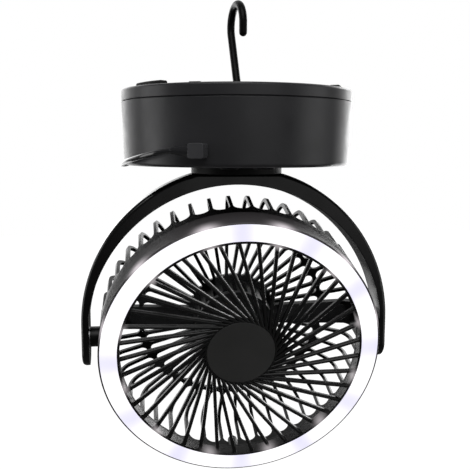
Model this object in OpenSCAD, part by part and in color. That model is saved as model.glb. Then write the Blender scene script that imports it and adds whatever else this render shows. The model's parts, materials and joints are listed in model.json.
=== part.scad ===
// Portable camping fan: a round battery base hung by a folding hook, a yoke that turns
// under it, and a tilting fan head with a ring light. Millimetres, +Z up, front is -Y.
// The origin is the inside top of the hook's loop, where the fan hangs on a line or peg.

/* [Hook] */
// Diameter of the hook's wire
hook_wire = 5.5; // [4.5:0.25:6.5]
// Radius of the loop, at the middle of the wire
loop_r = 14; // [13:0.5:15]
// Lean of the hook's shank
hook_lean = 22; // [18:1:24]
// Length of the straight tip beyond the loop
hook_tip = 6.5; // [3:0.5:10]
// Drop from the inside of the loop to the top of the lid
hook_drop = 56; // [53:1:61]
// Direction of the hook's open side, seen from above
hook_turn = -80; // [-90:1:-60]
// Depth of the hook's hinge pin below the top of the lid
pin_depth = 4.5; // [4:0.25:5]
// Diameter of the hook's hinge pin
hook_pin_d = 3; // [2.5:0.1:3.2]

/* [Base] */
// Diameter of the base at the seam
base_d = 160; // [156:1:170]
// Height of the housing below the seam
housing_h = 43; // [41:1:52]
// Amount that the housing's radius shrinks to its lower edge
housing_taper = 1.6; // [1:0.05:3]
// Thickness of the housing's wall
housing_wall = 2.5; // [2:0.1:3]
// Thickness of the housing's floor
housing_floor = 3; // [2.5:0.25:4]
// Height of the lid above the seam
lid_h = 8; // [7.5:0.25:10]
// Thickness of the lid's top
lid_wall = 2.5; // [2:0.1:3]
// Radius of the lid's rounded rim
lid_round = 1.5; // [1:0.25:3]
// Distance of the feet and the lid screws in from the base's edge
foot_inset = 11; // [10.5:0.25:11.5]
// Height of the feet above the lid
foot_h = 3; // [2:0.25:5]
// Width of a foot
foot_w = 7; // [6:0.25:7.5]
// Length of a foot as an angle
foot_arc = 24; // [16:1:25]

/* [Controls and charging] */
// Distance of the push buttons in from the base's edge
button_inset = 25; // [20:1:30]
// Diameter of a push button
button_d = 12; // [9:0.5:14]
// Travel of a push button
button_travel = 0.8; // [0.4:0.1:1]
// Height of a button below the housing's floor
button_proud = 1.5; // [1:0.1:2.5]
// Azimuth of the charge socket, from the front
socket_az = -23.5; // [-27:0.5:-20]
// Height of the charge socket above the housing's lower face
socket_h = 10.25; // [9.5:0.25:12]
// Width of the charge plug
plug_w = 9.7; // [9:0.1:12]
// Height of the charge plug
plug_h = 9.1; // [8:0.1:10]
// Depth of the charge plug
plug_t = 9.2; // [8:0.1:10]
// Diameter of the charge cable
cable_d = 3.4; // [3:0.1:3.6]

/* [Battery] */
// Diameter of a cell
cell_d = 18.4; // [17:0.1:19]
// Length of a cell
cell_l = 65; // [60:1:68]

/* [Swivel] */
// Diameter of the collar under the base
collar_d = 64; // [58:1:68]
// Height of the collar
collar_h = 5.7; // [4.5:0.1:7]
// Diameter of the hollow spindle
spindle_d = 24; // [20:0.5:26]
// Diameter of the wire passage through the spindle
wire_hole_d = 13; // [8:0.5:14]

/* [Yoke] */
// Clearance between the head and each arm
arm_clear = 6.9; // [6.4:0.1:8]
// Thickness of the arms
arm_t = 5.3; // [5:0.1:6.5]
// Height of the arch's outer centre above the pivot
arch_rise = 10.3; // [9.5:0.1:11.5]
// Height of the arch's inner centre above the pivot
arch_in_rise = 2.3; // [1.5:0.1:3]
// Amount by which the arch's inner radius exceeds half the gap between the arms
arch_step = 1; // [0.5:0.1:1.5]
// Amount cut off the top of the arch for the collar
crown_cut = 4.8; // [3:0.1:5.5]
// Width of the bevel along the front and back edges of the yoke's flat top
crown_bevel = 1.8; // [1:0.1:2.5]
// Depth of the yoke, front to back
yoke_depth = 22; // [18:0.5:26]
// Radius of the rounding along the yoke's outer edges
yoke_round = 3; // [2:0.25:3.5]

/* [Head] */
// Tilt of the head below level
head_tilt = 15; // [0:1:30]
// Outer radius of the head
head_r = 97.8; // [96:0.1:98.5]
// Distance from the pivot to the front of the head
head_front = 31.6; // [30:0.2:34]
// Distance from the pivot to the back of the head
head_back = 30; // [29:0.5:30]
// Distance from the pivot to the joint between the head's two shells
head_join = 12; // [11:0.25:13]
// Thickness of the head's walls
head_wall = 2.4; // [2:0.1:2.8]
// Inner radius of the light ring
light_in_r = 85.1; // [84:0.1:87]
// Number of lamps in the light ring
lamp_count = 12; // [8:1:24]
// Angle of the first lamp
lamp_phase = 16; // [0:1:30]

/* [Grilles] */
// Number of spokes in the front grille
spoke_count = 41; // [24:1:44]
// Radius of the circle that the front spokes touch
spoke_tangent_r = 19.4; // [15:0.2:21]
// Width of a front spoke
spoke_w = 2.5; // [1.8:0.1:3]
// Depth of a front spoke
spoke_depth = 3; // [2:0.1:4]
// Angle of the first front spoke
spoke_phase = 7.9; // [0:0.1:8.7]
// Radius of the front grille's hub
hub_r = 25; // [24:0.1:26.5]
// Number of ribs in the rear grille
rib_count = 44; // [24:1:48]
// Width of a rear rib
rib_w = 2.4; // [1.8:0.1:3]
// Sideways shift of the rear ribs from the axis
rib_swirl = 4; // [0:0.5:6]
// Angle of the first rear rib
rib_phase = 1.4; // [0:0.1:8.1]
// Radius of the middle ring of the rear grille
mid_ring_r = 69; // [60:0.5:74]
// Width of the middle ring
mid_ring_w = 3; // [2:0.1:5]
// Radius of the rear grille's solid centre
rear_hub_r = 33; // [31:0.5:36]

/* [Motor and impeller] */
// Radius of the motor can
motor_r = 20; // [16:0.5:23]
// Length of the motor can
motor_l = 17; // [14:0.5:17.5]
// Diameter of the motor shaft
shaft_d = 3; // [2:0.1:4]
// Number of blades
blade_count = 5; // [3:1:7]
// Radius of the blade tips
blade_r = 80; // [70:0.5:82]
// Thickness of a blade
blade_t = 1.8; // [1.2:0.1:2.4]
// Radius of the impeller's hub
impeller_hub_r = 20; // [16:0.5:23]

/* [Hidden] */
$fn = 96;
// Small overlap that makes joined volumes merge and cuts run through
eps = 0.5;
// Gaps: running fit, push fit, and free gap between pieces that pass each other
fit_run = 0.05;
fit_push = 0.1;
fit_free = 0.3;

// Heights
wire_r = hook_wire / 2;
loop_z = -(loop_r - wire_r);
lid_top_z = -hook_drop;
pin_z = lid_top_z - pin_depth;
seam_z = lid_top_z - lid_h;
base_z = seam_z - housing_h;
floor_z = base_z + housing_floor;
swivel_gap = 0.4;
collar_z = base_z - swivel_gap;
crown_z = collar_z - collar_h;

// Yoke, fitted round the head
arm_gap = head_r + arm_clear;
yoke_r = arm_gap + arm_t;
yoke_in_r = arm_gap + arch_step;
yoke_drop = arch_rise + yoke_r - crown_cut;
yoke_core_r = yoke_in_r + arch_in_rise - arch_rise - 2;
pivot_z = crown_z - yoke_drop;
arm_end = 9.5;

// Base
base_r = base_d / 2;
taper_angle = atan(housing_taper / housing_h);
bottom_round = 2.5;
wall_in_r = base_r - housing_wall;
seam_step = 0.45;
lid_ring_h = 3;
post_r = 3.6;
lid_screw_r = 1.5;
lid_screw_reach = 10;
screw_pilot = 0.25;
screw_head_r = 2.8;
screw_head_h = 1.6;
foot_recess = 0.8;
foot_circle = base_r - foot_inset;
foot_az = [-61.5, 76.5, 158.5];

// Hook: the shank leaves the loop on its tangent and runs down to the pin
arc_end = 180 + hook_lean;
shank_top = [loop_r * cos(arc_end), loop_z + loop_r * sin(arc_end)];
shank_l = (shank_top[1] - pin_z) / cos(hook_lean);
pin_h = shank_top[0] + shank_l * sin(hook_lean);
weld = 0.5;
weld_step = 0.02;
eye_r = 3.6;
eye_half = 5;
eye_shift = -0.8;
ear_t = 2;
ear_half = eye_half + fit_free + ear_t;
bracket_base_t = 1.2;
well_gap = 1.2;
loop_corner_r = norm([loop_r, hook_tip]) + wire_r;
well_depth = pin_depth + wire_r + fit_free + 0.2;
well_floor_z = lid_top_z - well_depth;
pocket_floor_z = pin_z - eye_r - fit_free - bracket_base_t;
well_wall = 2;
loop_reach = loop_z - pin_z;

// Controls
button_az = [-12, 12];
button_circle = base_r - button_inset;
button_flange = 1.3;
button_gap = 0.3;
board_t = 1.6;
socket_z = base_z + socket_h;
socket_size = [9, 7.6, 3.3];
nose_size = [8.3, 6.4, 2.4];
board_top_z = socket_z - socket_size[2] / 2;
board_z = board_top_z - board_t;
switch_bottom_z = floor_z + button_flange + button_travel + fit_push;
board_front = 26;
board_half = 46;
board_post = [34, board_front + 12];

// The charge plug stands off the wall by the free gap
plug_face_r = base_r - housing_taper * (seam_z - socket_z) / housing_h + fit_free;
plug_centre_r = plug_face_r + plug_t / 2;

// Battery
cell_pitch = cell_d + 1.1;
cell_gap = 2.2;
cell_z = pocket_floor_z - well_wall - cell_gap - cell_d / 2;
holder_wall = 3;
holder_base_t = 2;
holder_lip = 2;
holder_leg_r = 3;

// Swivel
spindle_r = spindle_d / 2;
collar_r = collar_d / 2;
guide_wall = 5;
guide_top_z = floor_z + 4;
washer_t = 1;
washer_z = guide_top_z;
retainer_z = washer_z + washer_t;
retainer_t = 3;
retainer_r = spindle_r + guide_wall + 1;
swivel_screw_r = 1.25;
swivel_screw_circle = (spindle_r + wire_hole_d / 2) / 2;

// Yoke screws
yoke_screw_x = 22;
yoke_screw_r = 2;
yoke_screw_head_r = 3.8;
yoke_screw_head_h = 2.4;
yoke_screw_grip = 7;

// Pivot, per side, measured outwards along the axis
pivot_boss_r = 7.25;
pivot_washer_t = 0.5;
pivot_boss_end = arm_gap - pivot_washer_t;
pivot_screw_r = 3;
bush_r = 5;
cap_r = 7;
cap_t = 0.9;
cap_gap = 0.9;
pivot_head_t = 1.5;
screw_seat = yoke_r - cap_t - cap_gap - pivot_head_t;
pivot_thread_l = 6.5;

// Head, along its own axis: the front is positive
rim_in_r = head_r - head_wall;
light_seat = head_front - 2.2;
light_gap = 0.1;
duct_r = light_in_r + fit_push;
duct_wall = 1.8;
channel_z = head_front - 9.1;
channel_t = 2;
ledge_z = channel_z + 1.5;
ledge_t = 2;
ledge_r = duct_r - 1.8;
lamp_board_t = 1.6;
lamp_size = [3.5, 3.5, 1];
lamp_circle = (duct_r + duct_wall + rim_in_r) / 2;
shell_screw_circle = head_r - 5.6;
shell_screw_az = [30, 150, 270];
shell_boss_r = 3.6;
shell_boss_z = head_join - 7.2;
shell_screw_r = 1.5;

// Front grille
grille_rim_r = duct_r - fit_free;
grille_rim_in = grille_rim_r - 1.5;
grille_front = head_front + 0.6;
hub_front = head_front - 2.6;
hub_t = 3.8;
hub_wall = 0.9;
hub_cap_r = hub_r - hub_wall;
hub_cap_t = 1.6;
spoke_hub_z = hub_front + 0.3;
spoke_rim_z = head_front - 0.2;
spoke_start = sqrt(pow(hub_r - 1.2, 2) - pow(spoke_tangent_r, 2));
spoke_end = sqrt(pow(grille_rim_r - 0.7, 2) - pow(spoke_tangent_r, 2));
spoke_slope = atan((spoke_rim_z - spoke_hub_z) / (spoke_end - spoke_start));

// Rear grille
bowl_wall = 2.6;
bowl_round = 10;
bowl_back = -head_back;
rib_half_angle = 180 / rib_count;
band_edge = head_join - 7.8;
strut_half = 7.5;
strut_half_rim = 10;
strut_t = 4.5;

// Motor and impeller, along the head's axis
motor_back = bowl_back + bowl_wall;
motor_front = motor_back + motor_l;
cage_r = 29;
cage_wall = 2;
cage_front = motor_front + 4;
cage_slot = 3.2;
cage_slots = 24;
bearing_r = 4;
bearing_t = 2.5;
rotor_r = 12;
stator_r = 13;
shaft_r = shaft_d / 2;
impeller_back = cage_front + 1.5;
impeller_l = 21;
impeller_front = impeller_back + impeller_l;
impeller_wall = 2;
blade_curve_r = 62;
blade_pitch = 34;
nut_r = 3.5;
nut_t = 3;

// Cable route from the strain relief to the coil: azimuth, radius, height
cable_route = [
    [-35, 85.3, -96.6], [-43, 86.2, -98.4], [-53, 85.2, -101], [-65, 82.8, -103.5],
    [-78, 80.8, -105.4], [-91, 80.2, -106.5], [-104, 80.2, -107], [-114, 80.8, -105.4],
    [-121, 82, -100.5], [-126.5, 83, -93], [-131, 83.6, -84.5], [-135.5, 84, -75.5],
    [-138.5, 84.1, -67.4], [-142.5, 83.2, -59.8], [-146.5, 81.1, -55.1],
    [-152, 77.1, -53.1], [-158, 70.7, -53.2], [-163, 67, -53.4]
];
// From the coil to the USB plug: x, y, z
lead_route = [
    [-9, 61.3, -50], [-3, 58.5, -49.9], [3, 54.4, -50.7], [8, 50.6, -51.7], [12, 48.5, -52]
];
cable_sides = 8;
relief_r = 4.2;
// Coil that holds the spare length on the lid, three turns wide and two high
coil_at = [-20, 42];
coil_mid_r = 5.5 * cable_d;
coil_half = 1.5 * cable_d;
coil_lift = 0.9;
coil_h = 2 * cable_d;
tie_t = 0.6;
tie_w = 8;
tie_turn = 250;
// USB plug on the lid
usb_turn = -20;
usb_size = [25, 15.6, 8];
usb_shell = [12, 12, 4.5];
usb_insert = 3;

// ---- Helpers ----------------------------------------------------------------

// Point at an azimuth from the front, a radius and a height
function around(p) = [p[1] * sin(p[0]), -p[1] * cos(p[0]), p[2]];

// Unit vector along v
function unit(v) = v / norm(v);

// Point on the smooth curve through b and c, a fraction t of the way from b to c
function smooth(a, b, c, d, t) =
    0.5 * (2 * b + (c - a) * t + (2 * a - 5 * b + 4 * c - d) * t * t
        + (3 * b - a - 3 * c + d) * t * t * t);

// Route with one point added halfway between each two
function refine(route) = [
    for (i = [0 : len(route) - 2])
        let (a = route[max(i - 1, 0)], b = route[i], c = route[i + 1],
             d = route[min(i + 2, len(route) - 1)])
        for (t = [0, 0.5]) smooth(a, b, c, d, t),
    route[len(route) - 1]
];

// Direction of a route at point i
function heading(route, i) =
    unit(route[min(i + 1, len(route) - 1)] - route[max(i - 1, 0)]);

// Children moved from azimuth 0 to azimuth a
module at_azimuth(a) {
    rotate([0, 0, a])
        children();
}

// Children from the hook's plane, where x is towards its open side
module in_hook_plane() {
    rotate([0, 0, hook_turn])
        children();
}

// Children from the head's frame: x right, y up and z forwards
module on_head() {
    translate([0, 0, pivot_z])
        rotate([90 + head_tilt, 0, 0])
            children();
}

// Children repeated on both sides of the pivot, turned so that z points outwards
module at_both_pivots() {
    translate([0, 0, pivot_z])
        for (side = [0, 180])
            rotate([0, 0, side])
                rotate([0, 90, 0])
                    children();
}

// Tube between two heights
module tube(r_out, r_in, z0, z1) {
    translate([0, 0, z0])
        difference() {
            cylinder(r = r_out, h = z1 - z0);
            translate([0, 0, -eps])
                cylinder(r = r_in, h = z1 - z0 + 2 * eps);
        }
}

// Round bar from p to q with end radii r1 and r2
module bar(p, q, r1, r2) {
    d = q - p;
    translate(p)
        rotate([0, acos(d[2] / norm(d)), atan2(d[1], d[0])])
            cylinder(r1 = r1, r2 = r2, h = norm(d));
}

// Square-cornered plan with rounded corners
module rounded_plan(size, r) {
    translate([r - size[0] / 2, -size[1] / 2])
        square([size[0] - 2 * r, size[1]]);
    translate([-size[0] / 2, r - size[1] / 2])
        square([size[0], size[1] - 2 * r]);
    for (x = [-1, 1], y = [-1, 1])
        translate([x * (size[0] / 2 - r), y * (size[1] / 2 - r)])
            circle(r = r);
}

// Cable of diameter d swept along a route of points
module cable_along(route, d, sides) {
    pts = refine(route);
    n = len(pts);
    rings = [
        for (i = [0 : n - 1])
            let (f = heading(pts, i), s = unit(cross(f, [0, 0, 1])), u = cross(s, f))
            for (k = [0 : sides - 1])
                pts[i] + d / 2 * (cos(360 * k / sides) * s + sin(360 * k / sides) * u)
    ];
    faces = [
        [for (k = [0 : sides - 1]) k],
        [for (k = [sides - 1 : -1 : 0]) (n - 1) * sides + k],
        for (i = [0 : n - 2], k = [0 : sides - 1])
            let (a = i * sides + k, b = i * sides + (k + 1) % sides)
            [a, a + sides, b],
        for (i = [0 : n - 2], k = [0 : sides - 1])
            let (a = i * sides + k, b = i * sides + (k + 1) % sides)
            [b, a + sides, b + sides]
    ];
    polyhedron(points = rings, faces = faces);
}

// ---- Hook -------------------------------------------------------------------

// Half outline of the hook's straight tip and its round end
module hook_tip_profile() {
    square([wire_r, hook_tip]);
    intersection() {
        translate([0, hook_tip])
            circle(r = wire_r);
        translate([0, hook_tip])
            square([wire_r, wire_r]);
    }
}

module hook() {
    color("#17171a") in_hook_plane() difference() {
        union() {
            translate([0, 0, loop_z])
                rotate([90, 0, 0]) {
                    rotate_extrude(angle = arc_end)
                        translate([loop_r, 0])
                            circle(r = wire_r);
                    translate([loop_r, 0, 0])
                        rotate([90, 0, 0])
                            rotate_extrude()
                                hook_tip_profile();
                    rotate([0, 0, arc_end])
                        translate([loop_r, -weld, 0])
                            rotate([-90, 0, 0])
                                cylinder(r = wire_r - weld_step, h = shank_l + weld);
                }
            translate([pin_h + eye_shift - eye_half, 0, pin_z])
                rotate([0, 90, 0])
                    cylinder(r = eye_r, h = 2 * eye_half);
        }
        translate([pin_h + eye_shift - eye_half - eps, 0, pin_z])
            rotate([0, 90, 0])
                cylinder(r = hook_pin_d / 2 + fit_run, h = 2 * (eye_half + eps));
    }
}

module hook_pin() {
    color("#b8b8bc") in_hook_plane()
        translate([pin_h + eye_shift - ear_half, 0, pin_z])
            rotate([0, 90, 0])
                cylinder(r = hook_pin_d / 2, h = 2 * ear_half);
}

// Two ears on a strip; the ears are round about the pin and square below it
module hook_bracket() {
    color("#8c8c90") in_hook_plane() translate([pin_h + eye_shift, 0, 0]) difference() {
        union() {
            translate([-ear_half, -eye_r, pocket_floor_z])
                cube([2 * ear_half, 2 * eye_r, bracket_base_t]);
            for (side = [-1, 1])
                translate([side * (ear_half - ear_t / 2), 0, 0]) {
                    translate([-ear_t / 2, -eye_r, pocket_floor_z])
                        cube([ear_t, 2 * eye_r, pin_z - pocket_floor_z]);
                    translate([-ear_t / 2, 0, pin_z])
                        rotate([0, 90, 0])
                            cylinder(r = eye_r, h = ear_t);
                }
        }
        translate([-ear_half - eps, 0, pin_z])
            rotate([0, 90, 0])
                cylinder(r = hook_pin_d / 2, h = 2 * (ear_half + eps));
    }
}

// ---- Base -------------------------------------------------------------------

// Plan of the well that the folded hook lies in, grown by g; the pin is along x
module well_plan(g) {
    slot = wire_r + well_gap + g;
    translate([0, loop_reach])
        circle(r = loop_corner_r + well_gap / 2 + g);
    translate([pin_h, 0])
        rotate(hook_lean)
            translate([-slot, 0])
                square([2 * slot, shank_l]);
}

// Plan of the pocket round the hook's hinge, grown by g
module pocket_plan(g) {
    half_x = ear_half + fit_free + g;
    half_y = eye_r + fit_free + g;
    translate([pin_h + eye_shift - half_x, -half_y])
        square([2 * half_x, 2 * half_y]);
}

// Outline of the lid's shell in radius and height
module lid_profile() {
    bevel = 0.5;
    difference() {
        union() {
            translate([base_r - lid_round, lid_top_z - lid_round])
                circle(r = lid_round);
            polygon([
                [0, lid_top_z], [base_r - lid_round, lid_top_z],
                [base_r - lid_round, lid_top_z - lid_round],
                [base_r, lid_top_z - lid_round], [base_r, seam_z + bevel],
                [base_r - bevel, seam_z], [0, seam_z]
            ]);
            polygon([
                [0, seam_z + eps], [wall_in_r - fit_free, seam_z + eps],
                [wall_in_r - fit_free, seam_z - lid_ring_h], [0, seam_z - lid_ring_h]
            ]);
        }
        polygon([
            [-eps, lid_top_z - lid_wall], [wall_in_r - 5, lid_top_z - lid_wall],
            [wall_in_r - 2.2, lid_top_z - lid_wall - 2.8],
            [wall_in_r - 2.2, seam_z - lid_ring_h - eps],
            [-eps, seam_z - lid_ring_h - eps]
        ]);
    }
}

module base_lid() {
    color("#4b4b4e") difference() {
        union() {
            rotate_extrude($fn = 180)
                lid_profile();
            in_hook_plane() {
                translate([0, 0, well_floor_z - well_wall])
                    linear_extrude(height = lid_top_z - eps - well_floor_z + well_wall)
                        well_plan(well_wall);
                translate([0, 0, pocket_floor_z - well_wall])
                    linear_extrude(height = lid_top_z - eps - pocket_floor_z + well_wall)
                        pocket_plan(well_wall);
            }
            for (a = foot_az)
                at_azimuth(a)
                    translate([0, -foot_circle, seam_z])
                        cylinder(r = post_r, h = lid_h - eps);
        }
        in_hook_plane() {
            translate([0, 0, well_floor_z])
                linear_extrude(height = well_depth + eps)
                    well_plan(0);
            translate([0, 0, pocket_floor_z])
                linear_extrude(height = lid_top_z + eps - pocket_floor_z)
                    pocket_plan(0);
        }
        for (a = foot_az)
            at_azimuth(a) {
                foot_shape(lid_top_z - foot_recess, foot_recess + eps, fit_push, 0);
                translate([0, -foot_circle, seam_z - eps])
                    cylinder(r = lid_screw_r + fit_push, h = lid_h + 2 * eps);
                translate([0, -foot_circle, foot_screw_z()])
                    cylinder(r = screw_head_r + fit_free, h = lid_h);
            }
    }
}

// Seat of a lid screw's head
function foot_screw_z() = lid_top_z - foot_recess - screw_head_h;

// Curved pad from z upwards, its sides grown by g and its long edges rounded
module foot_shape(z, h, g, round) {
    ends = asin(g / foot_circle);
    rotate_extrude(start = 270 - foot_arc / 2 - ends, angle = foot_arc + 2 * ends)
        translate([foot_circle, z])
            foot_section(foot_w / 2 + g, h, round);
}

module foot_section(half, h, round) {
    difference() {
        translate([-half, 0])
            square([2 * half, h]);
        if (round > 0)
            for (side = [-1, 1])
                translate([side * (half - round), h - round])
                    difference() {
                        translate([side > 0 ? 0 : -round - eps, 0])
                            square([round + eps, round + eps]);
                        circle(r = round);
                    }
    }
}

module rubber_feet() {
    color("#232326")
        for (a = foot_az)
            at_azimuth(a)
                foot_shape(lid_top_z - foot_recess, foot_h + foot_recess, 0, 1.2);
}

module lid_screws() {
    color("#9a9aa0")
        for (a = foot_az)
            at_azimuth(a)
                translate([0, -foot_circle, 0]) {
                    translate([0, 0, foot_screw_z()])
                        cylinder(r = screw_head_r, h = screw_head_h);
                    translate([0, 0, seam_z - lid_screw_reach])
                        cylinder(r = lid_screw_r,
                                 h = foot_screw_z() - seam_z + lid_screw_reach);
                }
}

// Outline of the housing's outside in radius and height, moved in by g
module housing_profile(g) {
    z0 = base_z + (g > 0 ? housing_floor : 0);
    slope_r = base_r - g;
    round = bottom_round;
    cz = z0 + round;
    cr = slope_r - housing_taper * (seam_z - cz) / housing_h - round / cos(taper_angle);
    translate([cr, cz])
        circle(r = round);
    polygon([
        [0, z0], [cr, z0], [cr, cz],
        [cr + round * cos(taper_angle), cz - round * sin(taper_angle)],
        [slope_r, seam_z], [0, seam_z]
    ]);
}

module base_housing() {
    color("#464649") difference() {
        union() {
            difference() {
                rotate_extrude($fn = 180)
                    difference() {
                        housing_profile(0);
                        housing_profile(housing_wall);
                        translate([0, seam_z - eps])
                            square([wall_in_r, 2 * eps]);
                        translate([base_r - housing_wall / 2, seam_z - seam_step])
                            square([housing_wall, 1]);
                    }
                translate([0, 0, base_z - eps])
                    cylinder(r = spindle_r + fit_run, h = housing_h);
            }
            tube(spindle_r + guide_wall, spindle_r + fit_run, base_z + 1, guide_top_z);
            for (a = foot_az)
                at_azimuth(a)
                    translate([0, -foot_circle, floor_z - eps])
                        cylinder(r = post_r, h = seam_z - floor_z + eps);
        }
        for (a = foot_az)
            at_azimuth(a)
                translate([0, -foot_circle, seam_z - lid_screw_reach - 2])
                    cylinder(r = lid_screw_r - screw_pilot, h = lid_screw_reach + 2 + eps);
        for (a = button_az)
            at_azimuth(a)
                translate([0, -button_circle, base_z - eps])
                    cylinder(r = button_d / 2 + button_gap, h = housing_floor + 2 * eps);
        at_azimuth(socket_az)
            translate([0, -wall_in_r, socket_z])
                cube([socket_size[0] + fit_push, 12, socket_size[2] + fit_push],
                     center = true);
    }
}

module battery_cells() {
    color("#3c6fb0")
        for (k = [-1, 0, 1])
            translate([-cell_l / 2, k * cell_pitch, cell_z])
                rotate([0, 90, 0])
                    cylinder(r = cell_d / 2, h = cell_l);
}

module battery_holder() {
    length = cell_l + 2 * (holder_wall + fit_push);
    width = 3 * cell_pitch + 2 * holder_wall;
    base = cell_z - cell_d / 2 - holder_base_t;
    color("#2e2e30") {
        difference() {
            translate([-length / 2, -width / 2, base])
                cube([length, width, cell_z - base + holder_lip]);
            for (k = [-1, 0, 1])
                translate([-cell_l / 2 - fit_push, k * cell_pitch, cell_z])
                    rotate([0, 90, 0])
                        cylinder(r = cell_d / 2 + fit_push, h = cell_l + 2 * fit_push);
            translate([-cell_l / 2 - fit_push, -width / 2 + holder_wall, cell_z])
                cube([cell_l + 2 * fit_push, width - 2 * holder_wall, cell_d]);
        }
        for (x = [-1, 1], y = [-1, 1])
            translate([x * (length / 2 - holder_leg_r), y * cell_pitch, floor_z])
                cylinder(r = holder_leg_r, h = base - floor_z + eps);
    }
}

// Circuit board behind the front of the base, with the two switches under it
module control_board() {
    color("#1f5b3a") {
        translate([0, 0, board_z])
            linear_extrude(height = board_t)
                intersection() {
                    circle(r = wall_in_r - housing_taper - 1);
                    translate([-board_half, -base_r])
                        square([2 * board_half, base_r - board_front]);
                }
        for (a = button_az)
            at_azimuth(a)
                translate([-3, -button_circle - 3, switch_bottom_z])
                    cube([6, 6, board_z - switch_bottom_z + eps]);
        for (x = [-1, 1])
            translate([x * board_post[0], -board_post[1], floor_z])
                cylinder(r = 2.5, h = board_z - floor_z + eps);
    }
}

module charge_socket() {
    color("#c0c0c4") at_azimuth(socket_az)
        translate([0, 0.3 - plug_face_r + socket_size[1] / 2, socket_z])
            difference() {
                cube(socket_size, center = true);
                translate([0, -1, 0])
                    cube([nose_size[0] + 2 * fit_push, socket_size[1],
                          nose_size[2] + 2 * fit_push], center = true);
            }
}

// Push button: a round cap through the floor and a flange that holds it in
module push_button(a) {
    at_azimuth(a) translate([0, -button_circle, 0]) {
        translate([0, 0, base_z - button_proud])
            rotate_extrude()
                difference() {
                    square([button_d / 2, button_proud + housing_floor + 0.2]);
                    translate([button_d / 2 - 1, 0])
                        difference() {
                            translate([0, -eps])
                                square([1 + eps, 1 + eps]);
                            translate([0, 1])
                                circle(r = 1);
                        }
                }
        translate([0, 0, floor_z])
            cylinder(r = button_d / 2 + 1.4, h = button_flange);
    }
}

module power_button() {
    color("#2c2c2f")
        push_button(button_az[0]);
}

module light_button() {
    color("#2c2c2f")
        push_button(button_az[1]);
}

// ---- Swivel -----------------------------------------------------------------

module swivel_washer() {
    color("#dcdcd4")
        tube(spindle_r + guide_wall, spindle_r + fit_free, washer_z, retainer_z);
}

// Collar disc under the base with the hollow spindle on it
module swivel_collar() {
    edge = 0.5;
    color("#262628") difference() {
        union() {
            rotate_extrude($fn = 128)
                polygon([
                    [0, crown_z], [collar_r - edge, crown_z], [collar_r, crown_z + edge],
                    [collar_r, collar_z - edge], [collar_r - edge, collar_z], [0, collar_z]
                ]);
            translate([0, 0, collar_z - eps])
                cylinder(r = spindle_r, h = retainer_z - collar_z + eps);
        }
        translate([0, 0, crown_z - eps])
            cylinder(r = wire_hole_d / 2, h = 2 * collar_h + housing_h);
        for (a = [30, 150, 270])
            rotate([0, 0, a])
                translate([swivel_screw_circle, 0, retainer_z - 7])
                    cylinder(r = swivel_screw_r - 0.2, h = 8);
        for (x = [-1, 1])
            translate([x * yoke_screw_x, 0, crown_z - eps])
                cylinder(r = yoke_screw_r - screw_pilot, h = 4 + eps);
    }
}

module swivel_retainer() {
    color("#2a2a2c") difference() {
        tube(retainer_r, wire_hole_d / 2, retainer_z, retainer_z + retainer_t);
        for (a = [30, 150, 270])
            rotate([0, 0, a])
                translate([swivel_screw_circle, 0, retainer_z - eps])
                    cylinder(r = swivel_screw_r + fit_push, h = retainer_t + 2 * eps);
    }
}

module swivel_screws() {
    color("#9a9aa0")
        for (a = [30, 150, 270])
            rotate([0, 0, a])
                translate([swivel_screw_circle, 0, retainer_z - 6]) {
                    cylinder(r = swivel_screw_r, h = 6 + retainer_t);
                    translate([0, 0, 6 + retainer_t])
                        cylinder(r = 2.2, h = 1.4);
                }
}

// ---- Yoke -------------------------------------------------------------------

// Section through the yoke, with rounded outer corners
module yoke_section() {
    half = yoke_depth / 2;
    translate([yoke_core_r, -half])
        square([yoke_r - yoke_round - yoke_core_r, yoke_depth]);
    translate([yoke_core_r, yoke_round - half])
        square([yoke_r - yoke_core_r, yoke_depth - 2 * yoke_round]);
    for (side = [-1, 1])
        translate([yoke_r - yoke_round, side * (half - yoke_round)])
            circle(r = yoke_round);
}

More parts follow.
